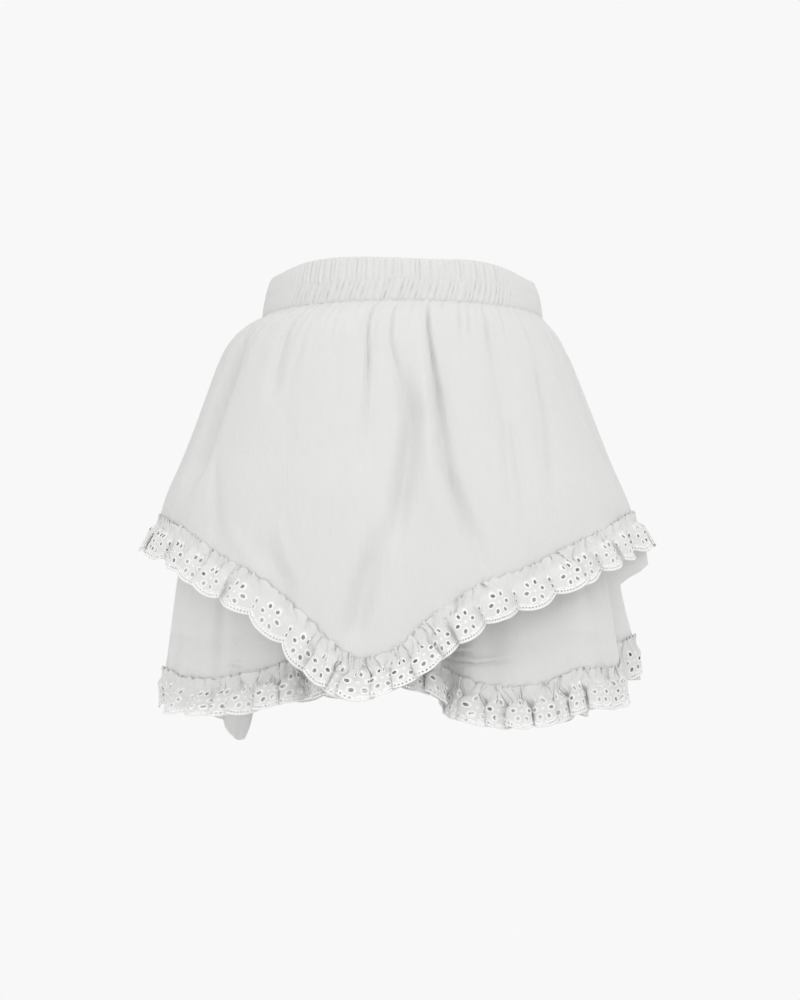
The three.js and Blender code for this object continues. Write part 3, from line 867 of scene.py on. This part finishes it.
class FlatLace:
    """The lace laid flat, in millimetres: X along it, Y up from its stitching, Z out of its face."""

    EDGE_RISE = 5.5  # from the tip of a scallop to where two meet
    START = -12.9  # the cell's left side, clear of the flower at 0 and the eyelets between scallops
    FLOWER = -12.8  # height of the flower's middle
    PETAL_RADIUS = 7.6  # from the flower's middle to the middle of a petal
    PETAL, SIDE_EYELET, EDGE_HOLE = (1.9, 1.5), (1.3, 1.6), (0.84, 0.84)  # half sizes of the holes
    SIDE_EYELETS = (-9.5, -15.2)  # heights of the pair between two scallops
    EDGE_HOLES = 15  # along one scallop
    HOLE_RISE = 2.5  # from the edge up to the middles of its holes
    RIM_LIFT, RING_LIFT = 0.2, 0.45  # height of a ring's inside and of its crest
    RING_FOOT = 0.3  # width of its outer slope
    EDGE_CORD = ((0.6, 0.8), (0.55, 0))  # steps up from the edge over its cord, each with a height
    EDGE_POINTS, SIDE_STEPS = 23, 15
    ARC = 5.4  # from the edge up to the stitched arc that follows it
    EDGE_WORK = 4.0  # how far up from the edge the embroidery reaches
    FINE_GROUND, COARSE_GROUND = 2.3, 3.6  # the longest edges left where the lace folds, and elsewhere
    PUCKERED = -5.0  # the lace is finely puckered above this height

    def __init__(self, settings):
        self.width, self.drop, self.head = (v / MM for v in (settings.scallop, settings.drop, settings.head))

    def edge_height(self, x):
        """The scalloped edge: arcs that meet in points half way between two flowers."""
        across = (x + self.width / 2) % self.width - self.width / 2
        return -self.drop + self.EDGE_RISE * (2 * across / self.width) ** 2

    def eyelet(self, bm, centre, size, turn, segments, ring):
        """A hole with a raised ring of embroidery round it. Returns the ring's outer edges."""
        placed = Matrix.Translation((*centre, 0)) @ Matrix.Rotation(turn, 4, "Z")
        made = bmesh.ops.create_circle(
            bm, segments=segments, radius=1, cap_ends=False, matrix=placed @ Matrix.Diagonal((*size, 1, 1))
        )["verts"]
        edges = list({e for v in made for e in v.link_edges})
        middle = Vector(centre)

        def wider(step, lift):
            return lambda co: (*(co.xy + (co.xy - middle).normalized() * step), lift)

        for vert in made:
            vert.co.z = self.RIM_LIFT
        if ring:
            edges = extruded(bm, edges, wider(ring, self.RING_LIFT))
        return extruded(bm, edges, wider(self.RING_FOOT, 0))

    def longest(self, edge):
        """How long an edge may stay."""
        middle = (edge.verts[0].co + edge.verts[1].co) / 2
        by_fold = abs(abs(middle.x) - self.width / 2) < 0.24 * self.width
        return self.FINE_GROUND if by_fold or middle.y > self.PUCKERED else self.COARSE_GROUND

    def cell(self):
        """One repeat of the lace."""
        bm = bmesh.new()
        left, right = self.START, self.START + self.width
        # The scalloped edge and its cord, from the edge inwards
        places = np.linspace(left, right, self.EDGE_POINTS)
        edge = [bm.verts.new((x, self.edge_height(x), 0.1)) for x in places]
        lines = [bm.edges.new(pair) for pair in zip(edge, edge[1:])]
        for up, lift in self.EDGE_CORD:
            lines = extruded(bm, lines, lambda co: (co.x, co.y + up, lift))
        ends = sorted((v for v in {v for e in lines for v in e.verts}), key=lambda v: v.co.x)
        bounds = list(lines)
        # The two sides and the top
        low = ends[0].co.y
        sides = []
        for start in (ends[0], ends[-1]):
            column = [start]
            for i in range(1, self.SIDE_STEPS + 1):
                column.append(bm.verts.new((start.co.x, low + (self.head - low) * i / self.SIDE_STEPS, 0)))
            sides.append(column)
            bounds += [bm.edges.new(pair) for pair in zip(column, column[1:])]
        top = [bm.verts.new((x, self.head, 0)) for x in places[1:-1]]
        top = [sides[0][-1], *top, sides[1][-1]]
        bounds += [bm.edges.new(pair) for pair in zip(top, top[1:])]
        # Eyelets: the flower, the pair between two scallops, and the row along the edge
        for k in range(6):
            turn = k * math.pi / 3
            centre = (self.PETAL_RADIUS * math.cos(turn), self.FLOWER + self.PETAL_RADIUS * math.sin(turn))
            bounds += self.eyelet(bm, centre, self.PETAL, turn, segments=10, ring=0.95)
        for height in self.SIDE_EYELETS:
            centre = (self.width / 2, height)
            bounds += self.eyelet(bm, centre, self.SIDE_EYELET, 0, segments=8, ring=0.85)
        for k in range(self.EDGE_HOLES):
            x = left + self.width * (k + 0.5) / self.EDGE_HOLES
            centre = (x, self.edge_height(x) + self.HOLE_RISE)
            bounds += self.eyelet(bm, centre, self.EDGE_HOLE, 0, segments=6, ring=0)
        fixed = {v for e in bounds for v in e.verts}
        bmesh.ops.triangle_fill(bm, use_beauty=True, use_dissolve=False, edges=bounds)
        ring_verts = {v for v in bm.verts if v.co.z > 0}
        kept = set(bounds)
        for _ in range(3):
            long = [
                e for e in bm.edges
                if e not in kept and not e.is_boundary and e.calc_length() > self.longest(e)
                and not ring_verts.intersection(e.verts)
            ]
            if not long:
                break
            bmesh.ops.subdivide_edges(bm, edges=long, cuts=1)
            bmesh.ops.triangulate(bm, faces=[f for f in bm.faces if len(f.verts) > 4])
            ground = [f for f in bm.faces if len(f.verts) == 3]
            inner = list({e for f in ground for e in f.edges if len(e.link_faces) == 2 and e not in kept})
            bmesh.ops.beautify_fill(bm, faces=ground, edges=inner)
            kept = {
                e for e in bm.edges
                if fixed.issuperset(e.verts) and any(len(f.verts) == 4 for f in e.link_faces)
            }
            free = [v for v in bm.verts if v not in fixed and v not in ring_verts and not v.is_boundary]
            bmesh.ops.smooth_vert(
                bm, verts=free, factor=0.5, use_axis_x=True, use_axis_y=True, use_axis_z=False
            )
        return bm

    def strip(self, count):
        """A flat run of repeats, joined side to side, with its flat place in its UV map."""
        bm = self.cell()
        bmesh.ops.translate(bm, verts=bm.verts, vec=(-self.START, 0, 0))
        first = list(bm.verts) + list(bm.edges) + list(bm.faces)
        for i in range(1, count):
            made = bmesh.ops.duplicate(bm, geom=first)["geom"]
            verts = [v for v in made if isinstance(v, bmesh.types.BMVert)]
            bmesh.ops.translate(bm, verts=verts, vec=(i * self.width, 0, 0))
        bmesh.ops.remove_doubles(bm, verts=bm.verts, dist=0.02)
        uv = bm.loops.layers.uv.new("flat")
        # Mask of the edge work and the rings, which the lace's material lifts in relief and paints lighter as
        # a painted highlight.
        raised_and_lit = bm.verts.layers.float.new("embroidery")
        for vert in bm.verts:
            by_edge = vert.co.y < self.edge_height(vert.co.x + self.START) + self.EDGE_WORK
            vert[raised_and_lit] = 1 if by_edge else min(1, vert.co.z / 0.15)
        for face in bm.faces:
            for loop in face.loops:
                loop[uv].uv = loop.vert.co.xy * MM
        return bm


class GatheredLace:
    """Where the points of a flat lace go when it is gathered onto a tier's hem."""

    STEP = 0.5  # between columns of the worked-out sheet
    CLEAR = 0.55  # from the middle of the cloth to the middle of the lace
    HANG_SHARE = 0.3  # how far the lace turns from square to the hem to the fall of the cloth
    HOLLOW_WIDTH = 12  # along the hem, over which a hollow is measured
    FULLEST = 0.96  # of a scallop's width along the hem, when the lace there is hardly gathered
    FRILL_SHARE = 0.86  # of its flat length that the frill keeps at most
    CRUMPLES = (4.4, 5.9, 8.1, 12.5)  # lengths of the frill's waves
    FRILL_TURN = 9  # along the lace, between turns of the frill's lean

    def __init__(self, tier, flat, seen, fullness, seed):
        self.flat = flat
        azimuth = np.linspace(-180, 180, 4001)[:-1]
        hem = tier.hem_height(azimuth)
        self.line = tier.surface(azimuth, hem, fine=False)
        above = tier.surface(azimuth, hem + 10, fine=False)
        fall = unit(self.line - above)
        along = unit(np.roll(self.line, -1, axis=0) - np.roll(self.line, 1, axis=0))
        outward = self.smoothed(unit(np.cross(fall, along)), 9)
        hang = unit(np.cross(along, outward))
        hang = unit(hang + self.HANG_SHARE * (fall - hang))
        hang = unit(hang + tier.droop * (np.array([0, 0, -1]) - hang))
        self.outward, self.hang = outward, self.smoothed(hang, 5)
        self.places = lengths_along(np.vstack([self.line, self.line[:1]]))
        self.girth = self.places[-1]
        rng = np.random.default_rng(seed)
        # The scallops seen in the photograph, then as many more as the rest of the hem takes
        swings, laps = np.radians(seen["swing"]), seen["lap"]
        seen = np.interp(seen["azimuth"], azimuth, self.places[:-1])
        rest = seen[0] + self.girth - seen[-1]
        count = round(rest * fullness / flat.width)
        more = seen[-1] + rest * (np.arange(1, count) + rng.uniform(-0.22, 0.22, count - 1)) / count
        self.centres = np.concatenate([seen, more, [seen[0] + self.girth]])
        self.count = len(self.centres) - 1
        self.swings = np.concatenate([swings, rng.uniform(-0.12, 0.12, count - 1)])
        self.laps = np.concatenate([laps, rng.choice([-1, 0, 1], count - 1)])
        self.work_out(rng)

    def smoothed(self, rows, spread):
        """Evens out directions over a stretch of the hem."""
        weights = np.hanning(2 * spread + 3)[1:-1]
        weights /= weights.sum()
        wrapped = np.vstack([rows[-spread:], rows, rows[:spread]])
        return unit(np.stack([np.convolve(wrapped[:, k], weights, "valid") for k in range(3)], axis=-1))

    def at(self, rows, place):
        """Reads rows that follow the hem at lengths along it, round the whole turn."""
        place = np.mod(place, self.girth)
        closed = np.vstack([rows, rows[:1]])
        return np.stack([np.interp(place, self.places, closed[:, k]) for k in range(3)], axis=-1)

    def along_lace(self, values):
        """Values at even places round the whole lace, read at each column of the sheet."""
        places = np.linspace(0, self.columns[-1], len(values) + 1)
        return np.interp(self.columns, places, np.append(values, values[0]))

    @staticmethod
    def gathered(base, shape, share, steepest):
        """Slopes of a line that a shape, on top of a base, takes up to a share of its length."""
        low, high = 0.0, steepest
        for _ in range(30):
            middle = (low + high) / 2
            if np.cos(base + middle * shape).mean() > share:
                low = middle
            else:
                high = middle
        return base + low * shape

    def slopes(self, rng, share, lap, phase):
        """Slopes from one flower to the next: open cloth with one fold between, and small gathers."""
        share = min(share, self.FULLEST)
        fold = np.clip(0.2 + 0.8 * (1 - share), 0.2, 0.62)
        across = (phase - 0.5 - rng.normal(0, 0.025)) / fold
        inside = np.abs(across) < 0.5
        bulge = -rng.uniform(0.15, 0.42) * np.sin(2 * math.pi * phase)
        if lap:
            shape = np.where(inside, -lap * np.cos(math.pi * across) ** 2, 0)
            big = self.gathered(bulge, shape, share, 2.9)
        else:
            big = self.gathered(bulge, np.where(inside, np.sin(2 * math.pi * across), 0), share, 2.1)
        small = sum(
            rng.uniform(0.4, 1) * np.sin(2 * math.pi * (count * phase + rng.uniform()))
            for count in (3, 4, 5, 7)
        )
        return big, self.gathered(0 * phase, small, min(share, self.FRILL_SHARE), 2.0)

    def work_out(self, rng):
        """The gathered sheet as a grid: columns along the flat lace from a flower, and rows down it."""
        per_cell = round(self.flat.width / self.STEP)
        phase = (np.arange(per_cell) + 0.5) / per_cell
        on = np.arange(1, per_cell + 1) / per_cell
        gaps = np.diff(self.centres)
        slopes = [
            self.slopes(rng, gap / self.flat.width, lap, phase) for gap, lap in zip(gaps, self.laps)
        ]
        big, small = (np.array(rows) for rows in zip(*slopes))
        self.rows = np.arange(self.flat.head, -self.flat.drop - 1.01, -1.0)
        columns = self.count * per_cell
        place = np.empty((len(self.rows), columns + 1))
        out = np.empty_like(place)
        for r, y in enumerate(self.rows):
            open_ = eased(-y, -1, 13)
            slope = (1 - open_) * small + open_ * big
            run = np.cumsum(np.cos(slope), axis=1)
            run = self.centres[:-1, None] + run / run[:, -1:] * gaps[:, None]
            rise = np.cumsum(np.sin(slope), axis=1) * self.STEP
            rise -= rise[:, -1:] * on
            # The flowers stand out by as much as the deeper of the folds beside them needs.
            lowest = -rise.min(axis=1)
            stand = (1 - 0.4 * open_) * np.maximum(lowest, np.roll(lowest, 1))[:, None]
            rise += stand * (1 - on) + np.roll(stand, -1) * on
            place[r] = np.concatenate([self.centres[:1], run.ravel()])
            out[r] = np.concatenate([rise.ravel()[-1:], rise.ravel()])
        out *= (0.33 + 0.67 * eased(-self.rows, 0, 8))[:, None]
        # In a hollow of the hem there is less room for waves.
        reach = self.HOLLOW_WIDTH
        middle = (self.at(self.line, place - reach) + self.at(self.line, place + reach)) / 2
        inset = ((middle - self.at(self.line, place)) * self.at(self.outward, place)).sum(-1)
        out = out / (1 + 0.9 * np.clip(inset, 0, None))
        # The frill above the stitching leans out by turns, and the scallops swing.
        turns = round(self.count * self.flat.width / self.FRILL_TURN)
        self.columns = np.linspace(0, self.count * self.flat.width, columns + 1)
        rests = rng.uniform(0.25, 1, turns)
        out *= 1 - 0.8 * self.along_lace(rests) * np.clip(self.rows[:, None] / self.flat.head, 0, 1)
        leans = (0.6 * rng.uniform(0, 1, turns) ** 3 - 0.06) * (1.1 - rests)
        skew = self.along_lace(rng.uniform(-0.9, 0.9, turns))
        place += skew * self.rows[:, None] * np.exp(-np.clip(-self.rows, 0, None) / 5)[:, None]
        lean, swing = self.along_lace(leans), self.along_lace(self.swings)
        above = np.clip(self.rows, 0, None)[:, None]
        below = np.clip(-self.rows, 0, None)[:, None]
        turn = 360 * (self.columns + 0.35 * self.rows[:, None]) / self.columns[-1]
        counts = [round(self.columns[-1] / length) for length in self.CRUMPLES]
        crumpled = above + 1.2 * np.exp(-(((below - 3) / 3) ** 2)) * (below > 0)
        crumple = ripple(turn, counts, self.count) * crumpled
        wobble = 0.2 * above * ripple(turn, counts[1:], self.count + 1)
        lift = self.CLEAR + out + above * np.sin(lean) + below * np.sin(swing) * eased(below, 2, 14)
        lift += 0.17 * np.abs(crumple)
        down = below * np.cos(swing) - above * np.cos(lean) + wobble
        self.points = self.at(self.line, place) + self.at(self.hang, place) * down[..., None]
        self.points += self.at(self.outward, place) * lift[..., None]
        along = np.gradient(self.points, axis=1)
        along[:, 0] = along[:, -1] = along[:, 1] + along[:, -2]
        self.normals = unit(np.cross(np.gradient(self.points, axis=0), along))

    def placed(self, flat_points):
        """Points of the flat lace where they hang, each moved out by its own height."""
        along = np.mod(flat_points[:, 0] + self.flat.START, self.columns[-1])
        column = np.clip(along / self.columns[1], 0, len(self.columns) - 1.001)
        row = np.clip(self.flat.head - flat_points[:, 1], 0, len(self.rows) - 1.001)
        c, r = column.astype(int), row.astype(int)
        s, t = (column - c)[:, None], (row - r)[:, None]

        def read(grid):
            high = grid[r, c] * (1 - s) + grid[r, c + 1] * s
            low = grid[r + 1, c] * (1 - s) + grid[r + 1, c + 1] * s
            return high * (1 - t) + low * t

        return read(self.points) + unit(read(self.normals)) * flat_points[:, 2:]


def gathered_laces(context):
    """Both laces, by the name of their piece."""
    lace = context.scene.skirt_lace
    flat = FlatLace(lace)
    return {
        "upper_lace": GatheredLace(UPPER_TIER, flat, UPPER_SCALLOPS, lace.fullness, 41),
        "lower_lace": GatheredLace(LOWER_TIER, flat, LOWER_SCALLOPS, lace.fullness, 57),
    }


class SKIRT_OT_laces(bpy.types.Operator):
    """Builds the two laces: a flat run of eyelet lace with scallops, gathered onto each hem"""

    bl_idname = "skirt.laces"
    bl_label = "Laces"

    WALL = 0.00035

    def execute(self, context):
        lace = context.scene.skirt_lace
        threads = shared_material("eyelet lace", lace_material, tuple(lace.colour), FlatLace(lace))
        for name, gathered in gathered_laces(context).items():
            bm = gathered.flat.strip(gathered.count)
            place_points(bm, gathered.placed(points_of(bm)) * MM)
            bmesh.ops.remove_doubles(bm, verts=bm.verts, dist=1e-5)
            piece = finished(bm, name, threads, (name + "_front", name + "_back"))
            thicken(piece, self.WALL)
            length = gathered.count * lace.scallop
            depth = lace.drop + lace.head
            length * (depth - 0.002) * 0.88
        return {"FINISHED"}


class SKIRT_OT_stitching(bpy.types.Operator):
    """Sews the stitches that hold each lace to its tier"""

    bl_idname = "skirt.stitching"
    bl_label = "Stitching"

    SPACING, THICKNESS = 3.3, 0.32
    REACH = 1.045  # from the middle of a stitch to where it dives into the lace
    LIFT = 0.3  # of its middle line over the middle of the lace

    def execute(self, context):
        thread = shared_material("sewing thread", thread_material, tuple(context.scene.skirt_lace.colour))
        for name, gathered in gathered_laces(context).items():
            bm = bmesh.new()
            flat_length = gathered.count * gathered.flat.width
            count = round(flat_length / self.SPACING)
            at = np.linspace(0, flat_length, count, endpoint=False) + self.SPACING / 2
            starts, ends = (
                gathered.placed(np.stack([at + reach, np.zeros(count), np.full(count, self.LIFT)], axis=-1))
                for reach in (-self.REACH, self.REACH)
            )
            for start, end in zip(starts, ends):
                along = Vector(end - start)
                turn = along.to_track_quat("X", "Z").to_matrix().to_4x4()
                middle = Matrix.Translation(Vector((start + end) / 2) * MM)
                size = Vector((along.length, self.THICKNESS, self.THICKNESS)) * (MM / 2)
                matrix = middle @ turn @ Matrix.Diagonal((*size, 1))
                bmesh.ops.create_icosphere(bm, subdivisions=1, radius=1, matrix=matrix)
            finished(bm, name.replace("lace", "stitches"), thread)
        return {"FINISHED"}


class SKIRT_OT_stage(bpy.types.Operator):
    """Sets up the pale floor and backdrop, the soft studio lights and the camera"""

    bl_idname = "skirt.stage"
    bl_label = "Stage"

    CAMERA = Vector((-0.0022, -1.5, -0.314))
    CAMERA_PITCH = math.radians(95.1)
    FLOOR_RADIUS, SWEEP, SWEEP_STEPS = 5, 2, 8
    # Name, place, point aimed at, side and power in watts
    LAMPS = (
        ("key", (1.35, -1.5, 1.1), (0, 0, -0.15), 0.8, 6.0),
        ("top", (0.05, -0.75, 0.75), (0, 0, -0.1), 0.7, 2.9),
        ("fill", (-1.3, -1.3, -0.5), (0, 0, -0.3), 0.8, 3.7),
    )

    def area_light(self, name, place, aim, side, power):
        """A square soft box."""
        light = bpy.data.lights.new(name, "AREA")
        light.size = side
        light.energy = power
        lamp = bpy.data.objects.new(name, light)
        lamp.location = place
        lamp.rotation_euler = (Vector(aim) - Vector(place)).to_track_quat("-Z", "Y").to_euler()
        bpy.context.scene.collection.objects.link(lamp)

    def execute(self, context):
        settings = context.scene.skirt_stage
        # A floor that sweeps up into a backdrop on every side
        floor = LOWEST_HEM - settings.floor_drop
        bm = bmesh.new()
        made = bmesh.ops.create_circle(
            bm, segments=96, radius=self.FLOOR_RADIUS, cap_ends=True, matrix=Matrix.Translation((0, 0, floor))
        )
        edges = list({e for v in made["verts"] for e in v.link_edges})
        for step in range(1, self.SWEEP_STEPS + 1):
            angle = step / self.SWEEP_STEPS * math.pi / 2
            radius = self.FLOOR_RADIUS + self.SWEEP * math.sin(angle)
            height = floor + self.SWEEP * (1 - math.cos(angle))
            edges = extruded(bm, edges, lambda co: (*(co.xy.normalized() * radius), height))
        bmesh.ops.recalc_face_normals(bm, faces=bm.faces)
        shader = Shader("pale backdrop")
        shader.feed("Base Color", (0, 0, 0, 1))
        shader.feed("Roughness", 1.0)
        shader.feed("Specular IOR Level", 0.0)
        shader.feed("Emission Color", (*settings.backdrop, 1))
        shader.feed("Emission Strength", 1.0)
        backdrop = smooth_object(bm, "backdrop", shader.material)

        world = bpy.data.worlds.new("studio")
        world.use_nodes = True
        background = world.node_tree.nodes["Background"]
        background.inputs["Color"].default_value = (*settings.backdrop, 1)
        background.inputs["Strength"].default_value = 1.0
        context.scene.world = world
        for lamp in self.LAMPS:
            self.area_light(*lamp)

        camera = bpy.data.cameras.new("camera")
        camera.sensor_width, camera.lens = 36, settings.camera_lens
        camera_object = bpy.data.objects.new("camera", camera)
        camera_object.location = self.CAMERA
        camera_object.rotation_euler = (self.CAMERA_PITCH, 0, 0)
        context.scene.collection.objects.link(camera_object)
        context.scene.camera = camera_object
        context.scene.view_settings.view_transform = "Standard"
        return {"FINISHED"}


class SKIRT_PT_panel(bpy.types.Panel):
    """Lists the skirt's sizes, colours and pieces"""

    bl_idname = "SKIRT_PT_panel"
    bl_label = "Tiered Skirt"
    bl_space_type = "VIEW_3D"
    bl_region_type = "UI"
    bl_category = "Skirt"

    def draw(self, context):
        for name in SETTINGS:
            box = self.layout.box()
            group = getattr(context.scene, name)
            for prop in group.bl_rna.properties:
                if prop.identifier not in ("rna_type", "name"):
                    box.prop(group, prop.identifier)
        for operator in OPERATORS:
            self.layout.operator(operator.bl_idname)


SETTINGS = {
    "skirt_band": SkirtBandSettings,
    "skirt_cloth": SkirtClothSettings,
    "skirt_lace": SkirtLaceSettings,
    "skirt_stage": SkirtStageSettings,
}
OPERATORS = (SKIRT_OT_waistband, SKIRT_OT_tiers, SKIRT_OT_laces, SKIRT_OT_stitching, SKIRT_OT_stage)


def register():
    for cls in (*SETTINGS.values(), *OPERATORS, SKIRT_PT_panel):
        bpy.utils.register_class(cls)
    for name, group in SETTINGS.items():
        setattr(bpy.types.Scene, name, bpy.props.PointerProperty(type=group))


def unregister():
    for name in SETTINGS:
        delattr(bpy.types.Scene, name)
    for cls in reversed((*SETTINGS.values(), *OPERATORS, SKIRT_PT_panel)):
        bpy.utils.unregister_class(cls)


def main():
    register()
    bpy.ops.skirt.waistband()
    bpy.ops.skirt.tiers()
    bpy.ops.skirt.laces()
    bpy.ops.skirt.stitching()
    bpy.ops.skirt.stage()


if __name__ == "__main__":
    main()
